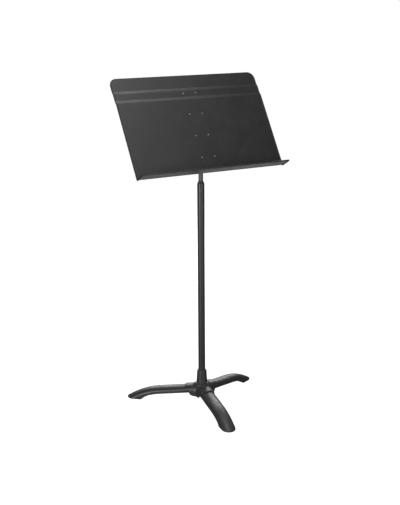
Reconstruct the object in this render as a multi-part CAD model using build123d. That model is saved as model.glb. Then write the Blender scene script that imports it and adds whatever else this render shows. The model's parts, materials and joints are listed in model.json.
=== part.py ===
from build123d import *
import os
from math import cos, radians, sin, tan

# Orchestra music stand: a tilting sheet-metal desk on a telescopic post with a three-legged base.
# Millimetres. The origin is on the post's axis at floor level, +Z is up, and the desk faces -Y,
# so +X is the reader's right.

# Desk
DESK_WIDTH = 508.0
DESK_HEIGHT = 333.7
DESK_TILT = 32.8            # degrees that the desk leans back from vertical
DESK_FOOT_FORWARD = 77.7    # the desk's bottom bend in front of the post's axis
DESK_FOOT_HEIGHT = 779.9    # the desk's bottom bend above the floor
SHEET = 1.6
STEP_DEPTH = 3.0            # each pressed step sets the sheet this far back
STEP_RISE = 10.0
STEP_HEIGHTS = (253.3, 284.9)
TOP_CORNER_RADIUS = 24.0
LEDGE_DEPTH = 45.6
LEDGE_DROOP = 3.5           # degrees that the ledge falls away from square
LEDGE_CORNER_RADIUS = 6.0
BEND_RADIUS = 3.4
BEAD_RADIUS = 2.1           # rolled edge round the whole sheet
BEAD_SETBACK = 1.5          # the bead's centre behind the sheet's front face
BEAD_STEP_RADIUS = 12.0     # where the bead follows a pressed step

# Rivets that hold the channel to the desk
RIVET_ROWS = (51.9, 124.4, 196.9, 269.4)
RIVET_COLUMN = 21.7
RIVET_SHANK = 1.6
RIVET_HEAD = 2.7
RIVET_HEAD_HEIGHT = 1.1

# Tilt joint
PIVOT_BACK = 34.8           # pivot behind the desk's front face
BOLT_RADIUS = 4.0
BOLT_CLEARANCE = 0.05
BOLT_ACROSS_FLATS = 13.0
BOLT_HEAD = 5.3
NUT_HEIGHT = 6.5
NUT_CROWN_RADIUS = 5.6
BOLT_END = 10.0             # thread beyond the spring washer
CHANNEL_HALF = 12.0         # half of the gap between the channel's walls
CHANNEL_DEPTH = 47.0
CHANNEL_TOP_DEPTH = 21.0
CHANNEL_FOOT_DEPTH = 20.0
CHANNEL_BOTTOM = 34.0
CHANNEL_TOP = 278.5
FLANGE_EDGE = 30.0
CROWN_START = 104.0         # the crown stops here, and the shaft swings in the open back below it
LUG_HALF = 7.0
LUG_EYE_RADIUS = 9.0
DISC_RADIUS = 11.0
DISC_THICK = 3.0
FACE_GAP = 0.05
FLAT_WASHER = 1.5
FLAT_WASHER_RADIUS = 8.5
SPRING_WASHER = 2.0
SPRING_WASHER_RADIUS = 7.8

# Distances from the middle of the tilt joint, out along its axis
WALL_OUT = CHANNEL_HALF + SHEET
DISC_IN = LUG_HALF + FACE_GAP
SPACER_IN = DISC_IN + DISC_THICK
NUT_FACE = WALL_OUT + FLAT_WASHER

# Post
TUBE_RADIUS = 11.35
TUBE_BORE = 9.75
TUBE_BOTTOM = 28.0
TUBE_TOP = 731.0
SHAFT_RADIUS = 7.15
SHAFT_BORE = 5.15
SHAFT_BOTTOM = 204.0
SHAFT_TOP = 820.0
KNUCKLE_PLUG = 24.0
KNUCKLE_FLANGE = 3.0
KNUCKLE_NECK_RADIUS = 7.75
PIN_RADIUS = 1.5
PIN_DOWN = 12.0             # the knuckle's cross pin below the shaft's top
RUNNING = 0.05

# Guide on the shaft's lower end
JOURNAL_RADIUS = 6.0
BUSH_LENGTH = 26.0
BUSH_FLOAT = 0.2
BUSH_LAND = 8.0             # the bush bears on the tube at its two ends only
SHAFT_PLUG = 18.0
GUIDE_SCREW_RADIUS = 2.5
GUIDE_SCREW_LENGTH = 15.0
GUIDE_SCREW_HEAD = 3.0
GUIDE_WASHER = 1.6

# Clutch in the top of the tube
CAP_TOP = 740.5
CAP_NOSE_RADIUS = 8.1
CAP_SKIRT = 12.0            # the cap's spigot down inside the tube
CAP_WALL = 1.2
COLLET_BOTTOM = 696.0
COLLET_TOP = 735.0
COLLET_BORE = 7.17
COLLET_FINGERS = 6
COLLET_SLOT = 1.4
SEAT_BOTTOM = 666.0
SEAT_THICK = 4.0
DISC_SPRINGS = 8
DISC_SPRING_THICK = 0.9

# Base
COLLAR_BOTTOM = 67.0
COLLAR_TOP = 112.0
COLLAR_BOTTOM_RADIUS = 18.0
COLLAR_TOP_RADIUS = 15.2
COLLAR_LIP = 2.6
HUB_BOTTOM = 25.0
HUB_RADIUS = 33.0           # of the skirt, in the valleys between the arms
HUB_SHOULDER = 43.0
CROWN_TAPER = 37.0
CROWN_RADIUS = 36.0         # the crown between the arms ends here, with its edge this high
CROWN_EDGE = 54.0
VALLEY_RADIUS = 24.0
BOSS_RADIUS = 21.5          # the round boss that the collar stands on
BOSS_FOOT_RADIUS = 27.0
BOSS_FOOT = 50.0
SCALLOP_REACH = 47.5        # how far out the skirt's edge has risen to this height
SCALLOP_TOP = 40.5
ARM_HALF_WIDTH = 25.4
ARM_SIDE = 8.0
ARM_ROOF = 4.0
ARM_REACH = 66.0            # before the ends are cut
ARM_END_TOP = 57.0
ARM_END_BOTTOM = 49.5
ARM_END_HEIGHT = 59.0
TUBE_PLUG_TOP = 52.0
CENTRE_BOLT_RADIUS = 4.2
CENTRE_BOLT_TOP = 44.0
CENTRE_BOLT_FLATS = 16.0
CENTRE_BOLT_HEAD = 6.5
CLAMP_WASHER = 3.5
CLAMP_WASHER_RADIUS = 15.0

# Legs
LEG_ANGLES = {"front": 262.0, "right": 22.0, "left": 142.0}
LEG_HALF_WIDTH = 22.8
LEG_HEIGHT = 19.5
LEG_SIDE = 7.0
LEG_WALL = 3.2
LEG_SLOPE = 6.4             # degrees down, from the hub to the bend
LEG_START = 20.0
LEG_START_TOP = 57.7
LEG_BEND_START = 141.0
LEG_BEND_RADIUS = 240.0
LEG_BEND_ANGLE = 36.0
TENON_END = 47.0
TENON_DROP = 5.0
HOLLOW_START = 66.0
HOLLOW_BEND_ANGLE = 14.0
PAD_TOP = 3.5
PAD_START = 181.0
PAD_TIP = 252.0
PAD_STRAIGHT_END = 228.0
PAD_HEIGHT = 17.0           # more than its inner end needs; the leg cuts it to fit
PAD_STEPS = ((201.0, 12.0), (213.0, PAD_TOP))   # it's no higher than this beyond each of these
INSTEP_RADIUS = 56.0        # the hollow that lifts the pad's inner end off the floor
INSTEP_AT = 161.6
INSTEP_DOWN = 37.8
PAD_HALF_WIDTH = 22.0
PAD_EDGE = 1.2
PEG_RADIUS = 4.0
PEG_HEIGHT = 6.0
PEG_AT = 226.0
LEG_SCREW_AT = 33.0
LEG_SCREW_RADIUS = 3.0
LEG_SCREW_LENGTH = 20.0
LEG_SCREW_HEAD = 6.0
LEG_SCREW_HEAD_RADIUS = 5.0

FAR = 400.0                 # larger than anything that it cuts

BASE_OF = (Align.CENTER, Align.CENTER, Align.MIN)
TOP_OF = (Align.CENTER, Align.CENTER, Align.MAX)
BESIDE = (Align.MIN, Align.CENTER, Align.MIN)


def rod(radius, z_low, z_high):
    return Pos(0, 0, z_low) * Cylinder(radius, z_high - z_low, align=BASE_OF)


def ring(outer, inner, z_low, z_high):
    return rod(outer, z_low, z_high) - rod(inner, z_low - 1, z_high + 1)


def turned(*outline):
    """A solid of revolution about Z from (radius, height) points."""
    face = Plane.XZ * Polygon(*outline, align=None)
    return revolve(face, Axis.Z)


def hexagon(across_flats, z_low, z_high):
    face = Pos(0, 0, z_low) * RegularPolygon(across_flats / 2, 6, major_radius=False)
    return extrude(face, z_high - z_low)


def capped_hexagon(across_flats, z_low, z_high):
    """A hexagon whose corners are turned off at its outer end."""
    height = z_high - z_low
    tip = across_flats / 2 + 0.4
    cone = Pos(0, 0, z_low) * Cone(tip + height, tip, height, align=BASE_OF)
    return hexagon(across_flats, z_low, z_high) & cone


# ---------------------------------------------------------------- base and legs

def leg_path(end_angle, start=LEG_START):
    """The line along the leg's ridge, in the leg's own XZ plane: straight, then bending down."""
    slope = radians(LEG_SLOPE)
    start_z = LEG_START_TOP - (start - LEG_START) * tan(slope)
    bend_z = LEG_START_TOP - (LEG_BEND_START - LEG_START) * tan(slope)
    centre_x = LEG_BEND_START - LEG_BEND_RADIUS * sin(slope)
    centre_z = bend_z - LEG_BEND_RADIUS * cos(slope)

    def on_bend(degrees):
        turn = radians(degrees)
        return (centre_x + LEG_BEND_RADIUS * sin(turn), 0, centre_z + LEG_BEND_RADIUS * cos(turn))

    middle = (LEG_SLOPE + end_angle) / 2
    straight = Line((start, 0, start_z), (LEG_BEND_START, 0, bend_z))
    bend = ThreePointArc(straight @ 1, on_bend(middle), on_bend(end_angle))
    return straight + bend


def arched_section(half_width, side, rise, drop):
    """Flat-bottomed section with short upright sides and an arched top; its ridge is at the origin."""
    ridge = -drop
    shoulder = ridge - rise
    foot = shoulder - side
    arch = Line((-half_width, shoulder), (-half_width, foot))
    arch += Line((-half_width, foot), (half_width, foot))
    arch += Line((half_width, foot), (half_width, shoulder))
    arch += EllipticalCenterArc((0, shoulder), half_width, rise, start_angle=0, arc_size=180)
    return make_face(arch)


def along_leg(path, section):
    """Sweeps a section along a leg path, its height staying in the leg's own plane."""
    plane = Plane(path @ 0, x_dir=(0, 1, 0), z_dir=path % 0)
    return sweep(plane * section, path=path)


def leg_frame(along):
    """A frame on the straight ridge, at this distance from the post's axis, +Z square to it."""
    slope = radians(LEG_SLOPE)
    height = LEG_START_TOP - (along - LEG_START) * tan(slope)
    along_ridge = (cos(slope), 0, -sin(slope))
    return Plane((along, 0, height), x_dir=along_ridge, z_dir=(sin(slope), 0, cos(slope)))


def leg_blank():
    arch = arched_section(LEG_HALF_WIDTH, LEG_SIDE, LEG_HEIGHT - LEG_SIDE, 0)
    blank = along_leg(leg_path(LEG_BEND_ANGLE + 6), arch)
    above_tenon = Box(FAR, FAR, FAR, align=(Align.MAX, Align.CENTER, Align.MIN))
    tenon_frame = leg_frame(TENON_END)
    blank -= tenon_frame.location * Pos(0, 0, -TENON_DROP) * above_tenon
    below_floor = Pos(0, 0, PAD_TOP) * Box(2 * FAR, FAR, FAR, align=TOP_OF)
    return blank - below_floor


def leg_screw_cut(radius, length):
    frame = leg_frame(LEG_SCREW_AT)
    return frame.location * Pos(0, 0, -LEG_HEIGHT) * Cylinder(radius, length, align=BASE_OF)


def leg():
    body = leg_blank()
    rise = LEG_HEIGHT - LEG_SIDE - LEG_WALL
    inside = arched_section(LEG_HALF_WIDTH - LEG_WALL, LEG_SIDE + LEG_WALL, rise, LEG_WALL)
    body -= along_leg(leg_path(HOLLOW_BEND_ANGLE, HOLLOW_START), inside)
    body -= Pos(PEG_AT, 0, PAD_TOP) * Cylinder(PEG_RADIUS, PEG_HEIGHT + 0.5, align=BASE_OF)
    body -= leg_screw_cut(LEG_SCREW_RADIUS + 0.2, LEG_HEIGHT)
    return body


def pad_outline():
    straight = PAD_STRAIGHT_END - PAD_START
    plan = Pos(PAD_START + straight / 2, 0) * Rectangle(straight, 2 * PAD_HALF_WIDTH)
    tip = Pos(PAD_STRAIGHT_END, 0) * Ellipse(PAD_TIP - PAD_STRAIGHT_END, PAD_HALF_WIDTH)
    return plan + tip


def foot_pad():
    """Rubber pad that fills the wedge under the leg's tip, with a peg up into the leg."""
    pad = extrude(pad_outline(), PAD_HEIGHT)
    pad = fillet(pad.edges().group_by(Axis.Z)[0], PAD_EDGE)
    pad -= leg_blank()
    pad -= Pos(INSTEP_AT, 0, -INSTEP_DOWN) * Rot(90, 0, 0) * Cylinder(INSTEP_RADIUS, FAR)
    for along, top in PAD_STEPS:
        pad -= Pos(along, 0, top) * Box(FAR, FAR, FAR, align=BESIDE)
    peg = Pos(PEG_AT, 0, PAD_TOP - 1) * Cylinder(PEG_RADIUS, PEG_HEIGHT + 1, align=BASE_OF)
    return pad + peg


def leg_screw():
    """Cap screw that pulls the leg's tenon up against the hub's roof."""
    head = Cylinder(LEG_SCREW_HEAD_RADIUS, LEG_SCREW_HEAD, align=TOP_OF)
    socket = hexagon(LEG_SCREW_HEAD_RADIUS, -LEG_SCREW_HEAD, -LEG_SCREW_HEAD / 2)
    shank = rod(LEG_SCREW_RADIUS, 0, LEG_SCREW_LENGTH)
    return leg_frame(LEG_SCREW_AT).location * Pos(0, 0, -LEG_HEIGHT) * (head - socket + shank)


def hub_arm():
    """Arm that the leg's root sits in, before its end is cut."""
    rise = LEG_HEIGHT + ARM_ROOF - ARM_SIDE
    section = arched_section(ARM_HALF_WIDTH, ARM_SIDE, rise, -ARM_ROOF)
    return along_leg(Line(leg_frame(0).origin, leg_frame(ARM_REACH).origin), section)


def star_plan():
    """The hub's outline from above: three arms with large hollow curves in the valleys between them."""
    strip = Pos(ARM_REACH / 2, 0) * Rectangle(ARM_REACH, 2 * ARM_HALF_WIDTH)
    strips = [Rot(0, 0, angle) * strip for angle in LEG_ANGLES.values()]
    plan = strips[0] + strips[1] + strips[2]
    valleys = plan.vertices().filter_by(lambda v: Vector(v.X, v.Y).length < ARM_REACH / 2)
    return fillet(valleys, VALLEY_RADIUS)


def boss():
    foot = (BOSS_FOOT_RADIUS, BOSS_FOOT)
    return turned((0, BOSS_FOOT), foot, (BOSS_RADIUS, COLLAR_BOTTOM), (0, COLLAR_BOTTOM))


def hub_body():
    """Upright walls with the star's outline, drawn in above them to the boss, with the arms' arches."""
    walls = Pos(0, 0, HUB_BOTTOM) * extrude(star_plan(), HUB_SHOULDER - HUB_BOTTOM)
    crown = Pos(0, 0, HUB_SHOULDER) * extrude(star_plan(), COLLAR_BOTTOM - HUB_SHOULDER, taper=CROWN_TAPER)
    rim = (CROWN_RADIUS, CROWN_EDGE)
    cap = turned((0, 0), (CROWN_RADIUS, 0), rim, (BOSS_RADIUS, COLLAR_BOTTOM), (0, COLLAR_BOTTOM))
    body = walls + (crown & cap) + boss()
    for angle in LEG_ANGLES.values():
        body += Rot(0, 0, angle) * hub_arm()
    return body


def arm_end_cut():
    """Everything beyond an arm's end, whose face leans in towards the floor."""
    lean = (LEG_HEIGHT + ARM_ROOF, 0, ARM_END_BOTTOM - ARM_END_TOP)
    end = Plane((ARM_END_TOP, 0, ARM_END_HEIGHT), x_dir=(0, 1, 0), z_dir=lean)
    return end.location * Box(FAR, FAR, FAR, align=BASE_OF)


def scallop():
    """Lifts the skirt's lower edge from the valleys up to the undersides of the legs."""
    inner = HUB_RADIUS + 1
    outer = SCALLOP_REACH
    rise = SCALLOP_TOP - HUB_BOTTOM
    edge = Line((inner, 0), (inner, HUB_BOTTOM))
    edge += EllipticalCenterArc((inner, SCALLOP_TOP), outer - inner, rise, start_angle=270, arc_size=90)
    edge += Polyline((outer, SCALLOP_TOP), (FAR, SCALLOP_TOP), (FAR, 0), (inner, 0))
    return revolve(Plane.XZ * make_face(edge), Axis.Z)


def hub():
    body = hub_body() - scallop()
    blank = leg_blank()
    below = Box(FAR, 2 * LEG_HALF_WIDTH, FAR, align=(Align.MIN, Align.CENTER, Align.MAX))
    under = leg_frame(LEG_START).location * Pos(0, 0, -LEG_HEIGHT + LEG_SIDE) * below
    for angle in LEG_ANGLES.values():
        turn = Rot(0, 0, angle)
        body -= turn * arm_end_cut()
        body -= turn * blank
        body -= turn * under
        body -= turn * leg_screw_cut(LEG_SCREW_RADIUS, LEG_SCREW_LENGTH + 0.3)
    return body - rod(TUBE_RADIUS, TUBE_BOTTOM, FAR) - rod(CENTRE_BOLT_RADIUS + 1.3, 0, FAR)


def base_collar():
    collar = turned(
        (TUBE_RADIUS, COLLAR_BOTTOM),
        (COLLAR_BOTTOM_RADIUS, COLLAR_BOTTOM),
        (COLLAR_TOP_RADIUS, COLLAR_TOP),
        (TUBE_RADIUS, COLLAR_TOP),
    )
    return fillet(collar.edges().group_by(Axis.Z)[-1].sort_by(SortBy.LENGTH)[-1:], COLLAR_LIP)


def tube_plug():
    """Steel plug pressed into the tube's foot, tapped for the centre bolt."""
    plug = rod(TUBE_BORE, TUBE_BOTTOM, TUBE_PLUG_TOP)
    plug = fillet(plug.edges().group_by(Axis.Z)[-1], 1)
    return plug - rod(CENTRE_BOLT_RADIUS, 0, CENTRE_BOLT_TOP + 2)


def clamp_washer():
    return ring(CLAMP_WASHER_RADIUS, CENTRE_BOLT_RADIUS + 0.3, HUB_BOTTOM - CLAMP_WASHER, HUB_BOTTOM)


def centre_bolt():
    head = Rot(180, 0, 0) * capped_hexagon(CENTRE_BOLT_FLATS, 0, CENTRE_BOLT_HEAD)
    under = HUB_BOTTOM - CLAMP_WASHER
    return Pos(0, 0, under) * head + rod(CENTRE_BOLT_RADIUS, under - 1, CENTRE_BOLT_TOP)


# ---------------------------------------------------------------- post

def outer_tube():
    return ring(TUBE_RADIUS, TUBE_BORE, TUBE_BOTTOM, TUBE_TOP)


def clutch_cap():
    """Cone pressed into the tube's top; its inner taper squeezes the collet."""
    hole = SHAFT_RADIUS + 0.35
    return turned(
        (TUBE_BORE, TUBE_TOP - CAP_SKIRT),
        (TUBE_BORE, TUBE_TOP),
        (TUBE_RADIUS, TUBE_TOP),
        (TUBE_RADIUS, TUBE_TOP + 0.8),
        (CAP_NOSE_RADIUS + 0.3, CAP_TOP - 1),
        (CAP_NOSE_RADIUS - 0.2, CAP_TOP),
        (hole, CAP_TOP),
        (hole, COLLET_TOP + 1.5),
        (TUBE_BORE - CAP_WALL, TUBE_TOP - CAP_SKIRT / 3),
        (TUBE_BORE - CAP_WALL, TUBE_TOP - CAP_SKIRT),
    )


def clutch_collet():
    """Nylon sleeve whose slotted fingers are squeezed onto the shaft by the cap's inner taper."""
    foot = TUBE_BORE - 0.1
    neck = TUBE_BORE - CAP_WALL - 0.1
    sleeve = turned(
        (COLLET_BORE, COLLET_BOTTOM),
        (foot, COLLET_BOTTOM),
        (foot, COLLET_BOTTOM + 8),
        (neck, COLLET_BOTTOM + 9),
        (neck, TUBE_TOP - CAP_SKIRT / 2),
        (COLLET_BORE + 0.25, COLLET_TOP),
        (COLLET_BORE, COLLET_TOP),
    )
    slot = Pos(0, 0, COLLET_BOTTOM + 11) * Box(FAR, COLLET_SLOT, FAR, align=BESIDE)
    for finger in range(COLLET_FINGERS):
        sleeve -= Rot(0, 0, finger * 360 / COLLET_FINGERS) * slot
    return sleeve


def clutch_springs():
    """A stack of coned disc springs, nested in alternate directions, that lifts the collet."""
    low = SEAT_BOTTOM + SEAT_THICK
    pitch = (COLLET_BOTTOM - low) / DISC_SPRINGS
    rise = pitch - DISC_SPRING_THICK
    inner = SHAFT_RADIUS + 0.6
    outer = TUBE_BORE - 0.3
    springs = []
    for index in range(DISC_SPRINGS):
        base = low + index * pitch
        inner_base = base + rise if index % 2 else base
        outer_base = base if index % 2 else base + rise
        springs.append(turned(
            (inner, inner_base),
            (outer, outer_base),
            (outer, outer_base + DISC_SPRING_THICK),
            (inner, inner_base + DISC_SPRING_THICK),
        ))
    return Compound(children=springs)


def clutch_seat():
    return ring(TUBE_BORE, SHAFT_RADIUS + 0.5, SEAT_BOTTOM, SEAT_BOTTOM + SEAT_THICK)


def shaft():
    tube = ring(SHAFT_RADIUS, SHAFT_BORE, SHAFT_BOTTOM, SHAFT_TOP)
    return tube - knuckle_pin_blank(FAR)


def knuckle_pin_blank(length):
    return Pos(0, 0, SHAFT_TOP - PIN_DOWN) * Rot(0, 90, 0) * Cylinder(PIN_RADIUS, length)


def shaft_plug():
    """Steel plug pressed into the shaft's lower end; the guide bush turns on its journal."""
    bottom = SHAFT_BOTTOM - BUSH_LENGTH
    plug = rod(SHAFT_BORE, SHAFT_BOTTOM, SHAFT_BOTTOM + SHAFT_PLUG)
    journal = rod(JOURNAL_RADIUS, bottom, SHAFT_BOTTOM)
    return plug + journal - rod(GUIDE_SCREW_RADIUS, 0, bottom + GUIDE_SCREW_LENGTH + 1)


def guide_bush():
    low = SHAFT_BOTTOM - BUSH_LENGTH + BUSH_FLOAT
    high = SHAFT_BOTTOM - BUSH_FLOAT
    outer = TUBE_BORE - RUNNING
    edge = 0.8
    bush = turned(
        (JOURNAL_RADIUS + RUNNING, low),
        (outer - edge, low),
        (outer, low + edge),
        (outer, high - edge),
        (outer - edge, high),
        (JOURNAL_RADIUS + RUNNING, high),
    )
    return bush - ring(outer + 1, outer - 0.7, low + BUSH_LAND, high - BUSH_LAND)


def guide_washer():
    top = SHAFT_BOTTOM - BUSH_LENGTH
    return ring(JOURNAL_RADIUS + 2.4, GUIDE_SCREW_RADIUS + 0.2, top - GUIDE_WASHER, top)


def guide_screw():
    """Slotted screw up into the journal."""
    top = SHAFT_BOTTOM - BUSH_LENGTH - GUIDE_WASHER
    head = rod(GUIDE_SCREW_RADIUS + 2.1, top - GUIDE_SCREW_HEAD, top)
    head = fillet(head.edges().group_by(Axis.Z)[0], 1.2)
    head -= Pos(0, 0, top - GUIDE_SCREW_HEAD) * Box(1.2, 10, 2.4)
    return head + rod(GUIDE_SCREW_RADIUS, top - 0.5, top + GUIDE_SCREW_LENGTH)


# ---------------------------------------------------------------- tilt joint

tilt = radians(DESK_TILT)
DESK_PLANE = Plane(
    (0, -DESK_FOOT_FORWARD, DESK_FOOT_HEIGHT), x_dir=(1, 0, 0), z_dir=(0, -cos(tilt), sin(tilt))
)
# The pivot is on the post's axis, which settles how far up the desk it is.
PIVOT_UP = (DESK_FOOT_FORWARD - PIVOT_BACK * cos(tilt)) / sin(tilt)
PIVOT_HEIGHT = DESK_FOOT_HEIGHT + PIVOT_UP * cos(tilt) - PIVOT_BACK * sin(tilt)


def across(solid):
    """Lays a solid that is modelled along Z onto the tilt axis, along X through the pivot."""
    return Pos(0, 0, PIVOT_HEIGHT) * Rot(0, 90, 0) * solid


def tilt_knuckle():
    """Plug in the shaft's top that flattens into the lug the desk turns on."""
    flange_top = SHAFT_TOP + KNUCKLE_FLANGE
    plug = rod(SHAFT_BORE, SHAFT_TOP - KNUCKLE_PLUG, SHAFT_TOP) + rod(SHAFT_RADIUS, SHAFT_TOP, flange_top)
    neck = Pos(0, 0, flange_top) * Box(2 * LUG_HALF, 2 * LUG_HALF, PIVOT_HEIGHT - flange_top, align=BASE_OF)
    neck &= rod(KNUCKLE_NECK_RADIUS, 0, 3 * FAR)
    lug = plug + neck + across(Cylinder(LUG_EYE_RADIUS, 2 * LUG_HALF))
    return lug - across(Cylinder(BOLT_RADIUS + BOLT_CLEARANCE, FAR)) - knuckle_pin_blank(FAR)


def knuckle_pin():
    return knuckle_pin_blank(2 * SHAFT_RADIUS - 0.9)


def both_sides(solid):
    return Compound(children=[solid, Rot(0, 180, 0) * solid])


def friction_discs():
    return across(both_sides(ring(DISC_RADIUS, BOLT_RADIUS + 0.1, DISC_IN, SPACER_IN)))


def spacer_washers():
    return across(both_sides(ring(DISC_RADIUS - 1, BOLT_RADIUS + 0.1, SPACER_IN, CHANNEL_HALF)))


def flat_washers():
    return across(both_sides(ring(FLAT_WASHER_RADIUS, BOLT_RADIUS + 0.2, WALL_OUT, NUT_FACE)))


def spring_washer():
    thick = 1.1
    cone = turned(
        (BOLT_RADIUS + 0.2, NUT_FACE + SPRING_WASHER - thick),
        (SPRING_WASHER_RADIUS, NUT_FACE),
        (SPRING_WASHER_RADIUS, NUT_FACE + thick),
        (BOLT_RADIUS + 0.2, NUT_FACE + SPRING_WASHER),
    )
    return across(cone)


def tilt_nut():
    face = NUT_FACE + SPRING_WASHER
    nut = capped_hexagon(BOLT_ACROSS_FLATS, face, face + NUT_HEIGHT)
    crown = rod(NUT_CROWN_RADIUS, face + NUT_HEIGHT - 0.5, face + NUT_HEIGHT + 2)
    crown = fillet(crown.edges().group_by(Axis.Z)[-1], 0.8)
    return across(nut + crown - rod(BOLT_RADIUS, 0, FAR))


def tilt_bolt():
    shank = rod(BOLT_RADIUS, -NUT_FACE, NUT_FACE + SPRING_WASHER + BOLT_END)
    shank = chamfer(shank.edges().group_by(Axis.Z)[-1], 0.7)
    head = Rot(180, 0, 0) * capped_hexagon(BOLT_ACROSS_FLATS, NUT_FACE, NUT_FACE + BOLT_HEAD)
    return across(shank + head)


# ---------------------------------------------------------------- desk, in its own frame
# Here X is across the desk, Y up its slope from the bottom bend, and Z out of its face.

def face_line(offset, bottom, top):
    """Points (up, out) along the desk's stepped face, set back by offset, between two heights."""
    points = [(bottom, -offset)]
    out = -offset
    for height in STEP_HEIGHTS:
        if bottom < height < top:
            points.append((height - STEP_RISE / 2, out))
            out -= STEP_DEPTH
            points.append((height + STEP_RISE / 2, out))
    points.append((top, out))
    return points


def slab(points, x_low, x_high):
    """A side profile of (up, out) points carried across the desk from x_low to x_high."""
    face = Plane.YZ * Polygon(*points, align=None)
    return Pos(x_low, 0, 0) * extrude(face, x_high - x_low, dir=(1, 0, 0))


def ledge_point(along, under):
    """A point (up, out) on the ledge: how far out from the face, and how far under its top."""
    droop = radians(LEDGE_DROOP)
    return (SHEET - along * sin(droop) - under * cos(droop), along * cos(droop) - under * sin(droop))


def bend_point(offset):
    """The corner (up, out) where the desk and the ledge meet, set back by offset from both faces."""
    droop = radians(LEDGE_DROOP)
    return ledge_point(-offset * (1 - sin(droop)) / cos(droop), offset)


def bead_path():
    side = DESK_WIDTH / 2 - BEAD_RADIUS
    top = DESK_HEIGHT - BEAD_RADIUS
    tip = ledge_point(LEDGE_DEPTH - BEAD_RADIUS, BEAD_SETBACK)
    bend = bend_point(BEAD_SETBACK)
    rail = [tip, bend] + face_line(BEAD_SETBACK, 0, top)[1:]
    right = [(side, up, out) for up, out in rail]
    left = [(-side, up, out) for up, out in reversed(rail)]
    radii = [LEDGE_CORNER_RADIUS, BEND_RADIUS]
    radii += [BEAD_STEP_RADIUS] * (len(rail) - 3)
    radii += [TOP_CORNER_RADIUS - BEAD_RADIUS]
    return FilletPolyline(*right, *left, radius=radii + radii[::-1], close=True)


def rolled_bead():
    path = bead_path()
    plane = Plane(path @ 0, z_dir=path % 0)
    return sweep(plane * Circle(BEAD_RADIUS), path=path)


def rivet_places():
    for up in RIVET_ROWS:
        out = face_line(0, 0, up)[-1][1]
        for x in (-RIVET_COLUMN, RIVET_COLUMN):
            yield x, up, out


def desk_panel():
    side = DESK_WIDTH / 2 - BEAD_RADIUS
    top = DESK_HEIGHT - BEAD_RADIUS
    front = face_line(0, SHEET, top)
    back = face_line(SHEET, 0, top)[1:]
    profile = front + back[::-1] + [bend_point(SHEET)]
    profile += [ledge_point(LEDGE_DEPTH - BEAD_RADIUS, SHEET), ledge_point(LEDGE_DEPTH - BEAD_RADIUS, 0)]
    panel = slab(profile, -side, side)
    outer_bend = panel.edges().filter_by(Axis.X).sort_by_distance((0, 0, -SHEET))[0]
    panel = fillet([outer_bend], BEND_RADIUS)
    inner_bend = panel.edges().filter_by(Axis.X).sort_by_distance((0, SHEET, 0))[0]
    panel = fillet([inner_bend], BEND_RADIUS - SHEET)
    top_corners = panel.edges().filter_by(Axis.Z).group_by(Axis.Y)[-1]
    panel = fillet(top_corners, TOP_CORNER_RADIUS - BEAD_RADIUS)
    panel += rolled_bead()
    for x, up, out in rivet_places():
        panel -= Pos(x, up, out) * Cylinder(RIVET_SHANK + 0.05, 10)
    return DESK_PLANE.location * panel


def channel_wall():
    back = face_line(SHEET, CHANNEL_BOTTOM, CHANNEL_TOP)
    outline = back + [
        (CHANNEL_TOP, -CHANNEL_TOP_DEPTH),
        (CROWN_START, -CHANNEL_DEPTH),
        (PIVOT_UP - 22, -CHANNEL_DEPTH),
        (CHANNEL_BOTTOM, -CHANNEL_FOOT_DEPTH),
    ]
    return slab(outline, CHANNEL_HALF, WALL_OUT)


def channel_flange():
    front = face_line(SHEET, CHANNEL_BOTTOM, CHANNEL_TOP)
    back = face_line(2 * SHEET, CHANNEL_BOTTOM, CHANNEL_TOP)
    flange = slab(front + back[::-1], CHANNEL_HALF, FLANGE_EDGE)
    ends = flange.edges().filter_by(Axis.Z).group_by(Axis.X)[-1]
    return fillet(ends, 6)


def channel_crown():
    outline = [
        (CROWN_START, -CHANNEL_DEPTH),
        (CHANNEL_TOP, -CHANNEL_TOP_DEPTH),
        (CHANNEL_TOP, -CHANNEL_TOP_DEPTH + SHEET),
        (CROWN_START, -CHANNEL_DEPTH + SHEET),
    ]
    return slab(outline, -WALL_OUT, WALL_OUT)


def desk_channel():
    """Hat-section channel up the desk's back, open behind the pivot so that the shaft can swing."""
    half = channel_wall() + channel_flange()
    channel = half + mirror(half, Plane.YZ) + channel_crown()
    channel -= Pos(0, PIVOT_UP, -PIVOT_BACK) * Rot(0, 90, 0) * Cylinder(BOLT_RADIUS + 0.1, FAR)
    for x, up, out in rivet_places():
        channel -= Pos(x, up, out) * Cylinder(RIVET_SHANK + 0.05, 20)
    return DESK_PLANE.location * channel


def desk_rivets():
    rivets = []
    for x, up, out in rivet_places():
        front = fillet(rod(RIVET_HEAD, 0, RIVET_HEAD_HEIGHT).edges().group_by(Axis.Z)[-1], 0.9)
        tail = -2 * SHEET
        back = fillet(rod(RIVET_HEAD, tail - RIVET_HEAD_HEIGHT, tail).edges().group_by(Axis.Z)[0], 0.7)
        rivets.append(Pos(x, up, out) * (front + back + rod(RIVET_SHANK, tail - 0.2, 0.2)))
    return DESK_PLANE.location * Compound(children=rivets)


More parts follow.
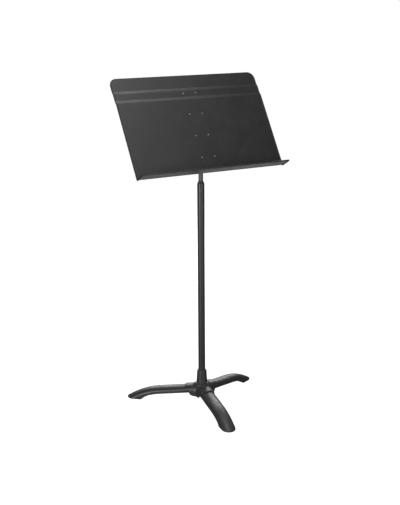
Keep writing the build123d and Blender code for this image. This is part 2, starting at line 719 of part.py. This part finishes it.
def build():
    nodes = {
        "outer_tube": outer_tube(),
        "clutch_cap": clutch_cap(),
        "clutch_collet": clutch_collet(),
        "clutch_springs": clutch_springs(),
        "clutch_seat": clutch_seat(),
        "base_collar": base_collar(),
        "hub": hub(),
        "tube_plug": tube_plug(),
        "centre_bolt": centre_bolt(),
        "clamp_washer": clamp_washer(),
        "guide_bush": guide_bush(),
        "shaft": shaft(),
        "shaft_plug": shaft_plug(),
        "guide_washer": guide_washer(),
        "guide_screw": guide_screw(),
        "tilt_knuckle": tilt_knuckle(),
        "knuckle_pin": knuckle_pin(),
        "friction_discs": friction_discs(),
        "spacer_washers": spacer_washers(),
        "flat_washers": flat_washers(),
        "spring_washer": spring_washer(),
        "tilt_nut": tilt_nut(),
        "tilt_bolt": tilt_bolt(),
        "desk_panel": desk_panel(),
        "desk_channel": desk_channel(),
        "desk_rivets": desk_rivets(),
    }
    one_leg = leg()
    one_pad = foot_pad()
    one_screw = leg_screw()
    for name, angle in LEG_ANGLES.items():
        nodes[f"leg_{name}"] = Rot(0, 0, angle) * one_leg
        nodes[f"foot_{name}"] = Rot(0, 0, angle) * one_pad
    nodes["leg_screws"] = Compound(children=[Rot(0, 0, a) * one_screw for a in LEG_ANGLES.values()])
    return nodes


def write(nodes):
    os.makedirs("parts", exist_ok=True)
    for name, solid in nodes.items():
        export_step(solid, f"parts/{name}.step")


write(build())
print(f"tilt axis at z {PIVOT_HEIGHT:.3f}")
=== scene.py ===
import json
from math import cos, radians, sin

import bmesh
import bpy
import numpy as np
from mathutils import Matrix, Vector


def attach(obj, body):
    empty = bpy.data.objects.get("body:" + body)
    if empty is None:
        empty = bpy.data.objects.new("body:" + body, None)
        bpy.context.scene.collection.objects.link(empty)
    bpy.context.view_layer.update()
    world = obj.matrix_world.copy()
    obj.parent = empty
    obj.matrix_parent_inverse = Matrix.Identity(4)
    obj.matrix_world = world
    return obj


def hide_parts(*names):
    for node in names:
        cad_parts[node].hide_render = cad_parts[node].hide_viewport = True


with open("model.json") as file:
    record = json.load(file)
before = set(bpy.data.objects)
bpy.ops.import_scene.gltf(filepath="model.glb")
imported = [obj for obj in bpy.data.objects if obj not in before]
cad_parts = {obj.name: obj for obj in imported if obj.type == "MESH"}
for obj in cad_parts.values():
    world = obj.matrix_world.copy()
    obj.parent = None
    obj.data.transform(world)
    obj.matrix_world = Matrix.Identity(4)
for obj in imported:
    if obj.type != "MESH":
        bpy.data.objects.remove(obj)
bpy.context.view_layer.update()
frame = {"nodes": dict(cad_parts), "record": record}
NODES = frame["nodes"]
SLOT_OF = {part["node"]: part["material_slot"] for part in frame["record"]["subparts"]}

# ---------------------------------------------------------------- camera

CAMERA_AT = Vector((-1.3702, -2.4882, 1.2955))
VIEW_AZIMUTH = radians(-28.765)
VIEW_PITCH = radians(15.458)
VIEW_ROLL = radians(-0.343)
LENS = 66.19


def make_camera():
    data = bpy.data.cameras.new("camera")
    data.lens = LENS
    data.sensor_width = 36.0
    camera = bpy.data.objects.new("camera", data)
    bpy.context.scene.collection.objects.link(camera)
    flat = cos(VIEW_PITCH)
    ahead = Vector((-sin(VIEW_AZIMUTH) * flat, cos(VIEW_AZIMUTH) * flat, -sin(VIEW_PITCH)))
    level = Vector((cos(VIEW_AZIMUTH), sin(VIEW_AZIMUTH), 0))
    upright = level.cross(ahead)
    right = cos(VIEW_ROLL) * level + sin(VIEW_ROLL) * upright
    up = right.cross(ahead)
    turn = Matrix((right, up, -ahead)).transposed().to_4x4()
    camera.matrix_world = Matrix.Translation(CAMERA_AT) @ turn
    bpy.context.scene.camera = camera


# ---------------------------------------------------------------- light and floor

AMBIENT = 0.10
FLOOR_HALF = 400.0
FLOOR_COLOUR = (0.35, 0.35, 0.35)
FLOOR_GLOW = 0.97

# Name, place, aim, width and length, and power of each softbox. The strip makes the fall-off from left
# to right across the desk, and the one overhead catches its steps.
LIGHTS = (
    ("strip", (-0.16, -0.72, 1.85), (-0.18, 0.0, 0.9), (0.3, 1.2), 7),
    ("overhead", (0.08, 0.0, 2.2), (-0.15, 0.05, 0.9), (0.25, 0.6), 9),
    ("front_left", (-2.7, -1.2, 0.6), (0, 0, 0.3), (0.8, 1.4), 68),
    ("front_right", (0.5, -2.9, 0.8), (0, 0, 0.5), (0.8, 1.6), 36),
    ("back", (0.95, 1.9, 1.25), (0.0, 0.0, 0.05), (1.8, 1.2), 38),
    ("low_back", (0.75, 1.25, 0.01), (0.75, 1.25, 1.0), (1.4, 1.9), 9),
)


def area_light(name, at, aim, size, power):
    """A softbox at one place that faces another; the camera doesn't see it."""
    data = bpy.data.lights.new(name, "AREA")
    data.shape = "RECTANGLE"
    data.size, data.size_y = size
    data.energy = power
    light = bpy.data.objects.new(name, data)
    bpy.context.scene.collection.objects.link(light)
    light.location = at
    light.rotation_euler = (Vector(aim) - Vector(at)).to_track_quat("-Z", "Y").to_euler()
    light.visible_camera = False


def make_world():
    """White where the camera looks past the floor, and a dim room in every other ray."""
    world = bpy.data.worlds.new("studio")
    bpy.context.scene.world = world
    world.use_nodes = True
    nodes = world.node_tree.nodes
    links = world.node_tree.links
    nodes.clear()
    seen = nodes.new("ShaderNodeBackground")
    seen.inputs["Color"].default_value = (1, 1, 1, 1)
    ambient = nodes.new("ShaderNodeBackground")
    ambient.inputs["Color"].default_value = (1, 1, 1, 1)
    ambient.inputs["Strength"].default_value = AMBIENT
    path = nodes.new("ShaderNodeLightPath")
    mix = nodes.new("ShaderNodeMixShader")
    out = nodes.new("ShaderNodeOutputWorld")
    links.new(path.outputs["Is Camera Ray"], mix.inputs["Fac"])
    links.new(ambient.outputs[0], mix.inputs[1])
    links.new(seen.outputs[0], mix.inputs[2])
    links.new(mix.outputs[0], out.inputs["Surface"])


def make_floor():
    """Pale studio floor that runs out to the horizon; its own glow keeps it an even white."""
    mesh = bpy.data.meshes.new("floor")
    half = FLOOR_HALF
    corners = [(-half, -half, 0), (half, -half, 0), (half, half, 0), (-half, half, 0)]
    mesh.from_pydata(corners, [], [(0, 1, 2, 3)])
    floor = bpy.data.objects.new("floor", mesh)
    bpy.context.scene.collection.objects.link(floor)
    material = bpy.data.materials.new("floor_white")
    material.use_nodes = True
    shader = material.node_tree.nodes["Principled BSDF"]
    shader.inputs["Base Color"].default_value = (*FLOOR_COLOUR, 1)
    shader.inputs["Roughness"].default_value = 0.9
    shader.inputs["Specular IOR Level"].default_value = 0.0
    shader.inputs["Emission Color"].default_value = (1, 1, 1, 1)
    shader.inputs["Emission Strength"].default_value = FLOOR_GLOW
    mesh.materials.append(material)
    floor.visible_glossy = False
    floor.visible_diffuse = False


bpy.context.scene.view_settings.view_transform = "Standard"
make_camera()
make_world()
make_floor()
for light in LIGHTS:
    area_light(*light)


# ---------------------------------------------------------------- shader graphs

class Graph:
    """A material's node tree, with short calls for what the finishes below share."""

    def __init__(self, name, colour, roughness, metallic=0.0):
        self.material = bpy.data.materials.new(name)
        self.material.use_nodes = True
        self.nodes = self.material.node_tree.nodes
        self.links = self.material.node_tree.links
        self.shader = self.nodes["Principled BSDF"]
        self.set("Base Color", (*colour, 1))
        self.set("Roughness", roughness)
        self.set("Metallic", metallic)
        self.coordinates = self.nodes.new("ShaderNodeTexCoord")
        self.normal = None

    def set(self, socket, value):
        self.shader.inputs[socket].default_value = value

    def drive(self, socket, output):
        self.links.new(output, self.shader.inputs[socket])

    def mapped(self, stretch):
        mapping = self.nodes.new("ShaderNodeMapping")
        mapping.inputs["Scale"].default_value = stretch
        self.links.new(self.coordinates.outputs["Object"], mapping.inputs["Vector"])
        return mapping.outputs["Vector"]

    def noise(self, scale, detail=2.0, roughness=0.5, stretch=(1, 1, 1)):
        """Noise whose features are about 1 / scale metres across."""
        node = self.nodes.new("ShaderNodeTexNoise")
        node.inputs["Scale"].default_value = scale
        node.inputs["Detail"].default_value = detail
        node.inputs["Roughness"].default_value = roughness
        self.links.new(self.mapped(stretch), node.inputs["Vector"])
        return node.outputs["Fac"]

    def pebbles(self, scale):
        node = self.nodes.new("ShaderNodeTexVoronoi")
        node.feature = "SMOOTH_F1"
        node.inputs["Scale"].default_value = scale
        self.links.new(self.mapped((1, 1, 1)), node.inputs["Vector"])
        return node.outputs["Distance"]

    def spread(self, output, low, high, new_low, new_high):
        """Maps low..high onto new_low..new_high, clamped."""
        node = self.nodes.new("ShaderNodeMapRange")
        self.links.new(output, node.inputs["Value"])
        sockets = ("From Min", "From Max", "To Min", "To Max")
        for socket, value in zip(sockets, (low, high, new_low, new_high)):
            node.inputs[socket].default_value = value
        return node.outputs["Result"]

    def maths(self, operation, first, second):
        node = self.nodes.new("ShaderNodeMath")
        node.operation = operation
        for index, value in enumerate((first, second)):
            if isinstance(value, (int, float)):
                node.inputs[index].default_value = value
            else:
                self.links.new(value, node.inputs[index])
        return node.outputs["Value"]

    def blend_colour(self, factor, low, high):
        """Low and high are colours, or the output of another node."""
        node = self.nodes.new("ShaderNodeMix")
        node.data_type = "RGBA"
        self.links.new(factor, node.inputs["Factor"])
        for socket, value in ((6, low), (7, high)):
            if isinstance(value, tuple):
                node.inputs[socket].default_value = (*value, 1)
            else:
                self.links.new(value, node.inputs[socket])
        return node.outputs[2]

    def bump(self, height, depth, strength=1.0):
        """Adds relief of this depth, in metres, over what is there already."""
        node = self.nodes.new("ShaderNodeBump")
        node.inputs["Strength"].default_value = strength
        node.inputs["Distance"].default_value = depth
        self.links.new(height, node.inputs["Height"])
        if self.normal:
            self.links.new(self.normal, node.inputs["Normal"])
        self.normal = node.outputs["Normal"]
        self.drive("Normal", self.normal)

    def facing(self, direction, low, high):
        """1 where the surface faces this direction in the part's own frame, 0 where it turns away."""
        dot = self.nodes.new("ShaderNodeVectorMath")
        dot.operation = "DOT_PRODUCT"
        self.links.new(self.coordinates.outputs["Normal"], dot.inputs[0])
        dot.inputs[1].default_value = direction
        return self.spread(dot.outputs["Value"], low, high, 0.0, 1.0)

    def edges(self, radius):
        """1 along outer and inner edges, 0 on open surfaces."""
        soft = self.nodes.new("ShaderNodeBevel")
        soft.samples = 6
        soft.inputs["Radius"].default_value = radius
        true = self.nodes.new("ShaderNodeNewGeometry")
        dot = self.nodes.new("ShaderNodeVectorMath")
        dot.operation = "DOT_PRODUCT"
        self.links.new(soft.outputs["Normal"], dot.inputs[0])
        self.links.new(true.outputs["Normal"], dot.inputs[1])
        return self.spread(dot.outputs["Value"], 0.985, 0.86, 0.0, 1.0)


def scaled(colour, by):
    return tuple(channel * by for channel in colour)


# ---------------------------------------------------------------- finishes

DUST = (0.11, 0.108, 0.102)
# Lighter colour for the edges: partly worn paint, partly a painted highlight along them.
WORN_EDGE_AND_HIGHLIGHT = (0.16, 0.16, 0.158)
SCRATCHED = (0.13, 0.13, 0.13)
GRIME = (0.2, 0.18, 0.15)
FLOOR_SCUFF = (0.09, 0.088, 0.082)
# Light metal colour for the rivet crowns: partly bare metal, partly a painted highlight.
BARE_AND_HIGHLIT_RIVET = (0.30, 0.30, 0.296)
DESK_NORMAL = (0, -0.84, 0.542)


def powder_coat(name, colour, roughness, grain, depth, wear=0.5, dust=0.3):
    """Black powder coat: grain, uneven gloss from handling, lighter patches along the edges that are
    partly worn paint and partly a painted highlight, and a trace of dust on top.
    """
    graph = Graph(name, colour, roughness)
    clouds = graph.noise(9, 4, 0.6)
    hands = graph.noise(28, 5, 0.65)
    speckle = graph.noise(grain * 0.8, 2, 0.7)
    cloudy = graph.spread(clouds, 0.3, 0.7, 0, 1)
    tone = graph.blend_colour(cloudy, scaled(colour, 0.86), scaled(colour, 1.16))
    tone = graph.blend_colour(graph.spread(speckle, 0.62, 0.76, 0, 0.5), tone, scaled(colour, 1.9))
    upward = graph.facing((0, 0, 1), 0.75, 1.0)
    settled = graph.maths("MULTIPLY", upward, graph.spread(hands, 0.4, 0.8, 0, dust))
    tone = graph.blend_colour(settled, tone, DUST)
    # Edges lightened in patches: partly worn paint, partly a painted highlight along the edges; wear sets
    # how strong.
    patches = graph.spread(graph.noise(120, 4, 0.7), 0.42, 0.66, 0, wear)
    worn_and_highlit_edges = graph.maths("MULTIPLY", graph.edges(0.0009), patches)
    tone = graph.blend_colour(worn_and_highlit_edges, tone, WORN_EDGE_AND_HIGHLIGHT)
    graph.drive("Base Color", tone)
    gloss = graph.spread(hands, 0.3, 0.7, roughness - 0.05, roughness + 0.06)
    gloss = graph.maths("ADD", gloss, graph.maths("MULTIPLY", settled, 0.25))
    graph.drive("Roughness", graph.maths("SUBTRACT", gloss, graph.maths("MULTIPLY", worn_and_highlit_edges, 0.14)))
    graph.bump(graph.noise(grain, 2, 0.55), depth)
    graph.bump(graph.noise(150, 3, 0.5), depth * 1.6, 0.35)
    return graph.material


def lacquer(name, colour, roughness):
    """Smooth black shaft with the fine upright lines that the clutch and bush leave on it."""
    graph = Graph(name, colour, roughness)
    lines = graph.noise(900, 4, 0.7, (1, 1, 0.012))
    scuffs = graph.noise(60, 5, 0.7, (1, 1, 0.25))
    scuffed = graph.spread(scuffs, 0.4, 0.7, 0.1, 0.8)
    marks = graph.maths("MULTIPLY", graph.spread(lines, 0.56, 0.74, 0, 1), scuffed)
    uneven = graph.spread(scuffs, 0.3, 0.7, 0, 1)
    tone = graph.blend_colour(uneven, scaled(colour, 0.85), scaled(colour, 1.15))
    graph.drive("Base Color", graph.blend_colour(marks, tone, SCRATCHED))
    graph.drive("Roughness", graph.spread(scuffs, 0.3, 0.7, roughness - 0.05, roughness + 0.1))
    graph.bump(lines, 0.000015)
    graph.bump(graph.noise(1600, 2), 0.000012)
    return graph.material


def plated(name, colour, tint, roughness, wear=0.4):
    """Plated or uncoated steel: turning lines, cloudy passivation, a few dark specks scattered at random.
    """
    graph = Graph(name, colour, roughness, 1.0)
    clouds = graph.noise(160, 4, 0.6)
    turning = graph.noise(1400, 3, 0.6, (1, 0.15, 0.15))
    tone = graph.blend_colour(graph.spread(clouds, 0.35, 0.65, 0, 1), colour, tint)
    specks = graph.spread(graph.noise(700, 3, 0.7), 0.64, 0.74, 0, wear)
    graph.drive("Base Color", graph.blend_colour(specks, tone, scaled(colour, 0.25)))
    graph.drive("Roughness", graph.spread(turning, 0.3, 0.7, roughness - 0.07, roughness + 0.12))
    graph.bump(turning, 0.00002)
    return graph.material


def nylon(name, colour):
    """Natural moulded nylon: slightly translucent, faintly mottled, with a fine matt skin."""
    graph = Graph(name, colour, 0.46)
    graph.set("Subsurface Weight", 0.18)
    graph.set("Subsurface Scale", 0.002)
    mottle = graph.noise(110, 4, 0.6)
    grime = graph.spread(graph.noise(45, 5, 0.7), 0.55, 0.8, 0, 0.45)
    tone = graph.blend_colour(mottle, scaled(colour, 0.9), scaled(colour, 1.06))
    graph.drive("Base Color", graph.blend_colour(grime, tone, GRIME))
    graph.drive("Roughness", graph.spread(mottle, 0.3, 0.7, 0.4, 0.56))
    graph.bump(graph.noise(1500, 2), 0.00002)
    return graph.material


def rubber(name, colour):
    """Moulded rubber: pebbled matt skin, dusty, and greyed where it bears on the floor."""
    graph = Graph(name, colour, 0.78)
    height = graph.nodes.new("ShaderNodeSeparateXYZ")
    graph.links.new(graph.coordinates.outputs["Object"], height.inputs[0])
    scuff = graph.spread(graph.noise(140, 4, 0.7), 0.4, 0.75, 0, 0.8)
    low = graph.maths("MULTIPLY", graph.spread(height.outputs["Z"], 0.002, 0.0003, 0, 1), scuff)
    tone = graph.blend_colour(graph.noise(40, 4, 0.6), scaled(colour, 0.85), scaled(colour, 1.25))
    graph.drive("Base Color", graph.blend_colour(low, tone, FLOOR_SCUFF))
    graph.drive("Roughness", graph.spread(graph.noise(90, 4), 0.3, 0.7, 0.7, 0.88))
    graph.bump(graph.pebbles(1300), 0.00005, 0.7)
    graph.bump(graph.noise(260, 3), 0.00004, 0.4)
    return graph.material


def rivet_coat(name, colour):
    """Painted like the desk; the crowns of the heads, and faintly their backs, go lighter and metallic,
    partly worn paint and partly a painted highlight.
    """
    graph = Graph(name, colour, 0.4)
    # Crowns facing out of the desk, and faintly the backs, get a light metal colour: partly bare metal,
    # partly a painted highlight.
    crown = graph.facing(DESK_NORMAL, 0.92, 0.99)
    behind = graph.facing(tuple(-n for n in DESK_NORMAL), 0.9, 1.0)
    patchy = graph.spread(graph.noise(900, 3, 0.7), 0.3, 0.6, 0.45, 1.0)
    bare_and_highlit = graph.maths("MULTIPLY", graph.maths("ADD", crown, graph.maths("MULTIPLY", behind, 0.4)), patchy)
    graph.drive("Base Color", graph.blend_colour(bare_and_highlit, colour, BARE_AND_HIGHLIT_RIVET))
    graph.drive("Metallic", graph.maths("MULTIPLY", bare_and_highlit, 0.6))
    graph.bump(graph.noise(1800, 2), 0.00003)
    return graph.material


FINISHES = {
    "desk_coat": powder_coat("desk_coat", (0.010, 0.010, 0.0102), 0.50, 1500, 0.00006),
    "channel_coat": powder_coat("channel_coat", (0.025, 0.025, 0.0252), 0.52, 1500, 0.00006),
    "rivet_coat": rivet_coat("rivet_coat", (0.03, 0.03, 0.0305)),
    "post_coat": powder_coat("post_coat", (0.021, 0.021, 0.0205), 0.40, 1900, 0.00003, 0.3, 0.1),
    "cap_coat": powder_coat("cap_coat", (0.032, 0.032, 0.032), 0.36, 2200, 0.00002, 0.6, 0.2),
    "shaft_coat": lacquer("shaft_coat", (0.030, 0.030, 0.030), 0.30),
    "base_coat": powder_coat("base_coat", (0.026, 0.026, 0.0256), 0.43, 1300, 0.00004, 0.5, 0.35),
    "zinc_steel": plated("zinc_steel", (0.62, 0.62, 0.64), (0.55, 0.54, 0.50), 0.32),
    "plain_steel": plated("plain_steel", (0.44, 0.43, 0.42), (0.36, 0.34, 0.32), 0.36, 0.6),
    "spring_steel": plated("spring_steel", (0.16, 0.155, 0.16), (0.20, 0.17, 0.13), 0.34, 0.5),
    "nylon": nylon("nylon", (0.66, 0.64, 0.57)),
    "pad_rubber": rubber("pad_rubber", (0.018, 0.018, 0.018)),
}

for name, node in NODES.items():
    node.data.materials.clear()
    node.data.materials.append(FINISHES[SLOT_OF[name]])


# ---------------------------------------------------------------- the cast hub

HUB_VOXEL = 0.0013
HUB_PASSES = 26
ARM_SOFT_TO = 0.046         # full smoothing inside this radius
ARM_FIRM_FROM = 0.055       # light smoothing beyond this one
ARM_SHARE = 0.22
SKIRT_FIRM_TO = 0.029       # the skirt's lower edge keeps its outline below this height
SKIRT_SOFT_FROM = 0.041


def step(low, high, values):
    t = np.clip((values - low) / (high - low), 0, 1)
    return t * t * (3 - 2 * t)


def remeshed(node, voxel):
    """A copy of a CAD node as an even quad mesh."""
    mesh = node.data.copy()
    piece = bpy.data.objects.new("cast_" + node.name, mesh)
    bpy.context.scene.collection.objects.link(piece)
    work = bmesh.new()
    work.from_mesh(mesh)
    bmesh.ops.remove_doubles(work, verts=work.verts, dist=1e-6)
    work.to_mesh(mesh)
    work.free()
    remesh = piece.modifiers.new("even", "REMESH")
    remesh.mode = "VOXEL"
    remesh.voxel_size = voxel
    remesh.use_smooth_shade = True
    even = bpy.data.meshes.new_from_object(piece.evaluated_get(bpy.context.evaluated_depsgraph_get()))
    piece.modifiers.clear()
    piece.data = even
    return piece


def smooth_outside(mesh, passes):
    """Runs the creases of a casting together on its outer faces, and leaves its sockets alone."""
    count = len(mesh.vertices)
    place = np.zeros(count * 3)
    normal = np.zeros(count * 3)
    mesh.vertices.foreach_get("co", place)
    mesh.vertices.foreach_get("normal", normal)
    place = place.reshape(-1, 3)
    normal = normal.reshape(-1, 3)
    ends = np.zeros(len(mesh.edges) * 2, int)
    mesh.edges.foreach_get("vertices", ends)
    first, second = ends.reshape(-1, 2).T
    degree = np.bincount(first, minlength=count) + np.bincount(second, minlength=count)
    outward = place - np.array((0, 0, 0.02))
    outward /= np.linalg.norm(outward, axis=1)[:, None]
    outer = step(-0.05, 0.25, (outward * normal).sum(1))
    radius = np.hypot(place[:, 0], place[:, 1])
    share = 1 - (1 - ARM_SHARE) * step(ARM_SOFT_TO, ARM_FIRM_FROM, radius)
    share *= step(SKIRT_FIRM_TO, SKIRT_SOFT_FROM, place[:, 2])
    weight = (0.55 * outer * share)[:, None]
    for _ in range(passes):
        total = np.zeros_like(place)
        np.add.at(total, first, place[second])
        np.add.at(total, second, place[first])
        place += weight * (total / degree[:, None] - place)
    mesh.vertices.foreach_set("co", place.ravel())
    mesh.update()


def make_hub():
    piece = remeshed(NODES["hub"], HUB_VOXEL)
    smooth_outside(piece.data, HUB_PASSES)
    piece.data.materials.clear()
    piece.data.materials.append(FINISHES["base_coat"])
    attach(piece, "base")
    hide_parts("hub")


make_hub()
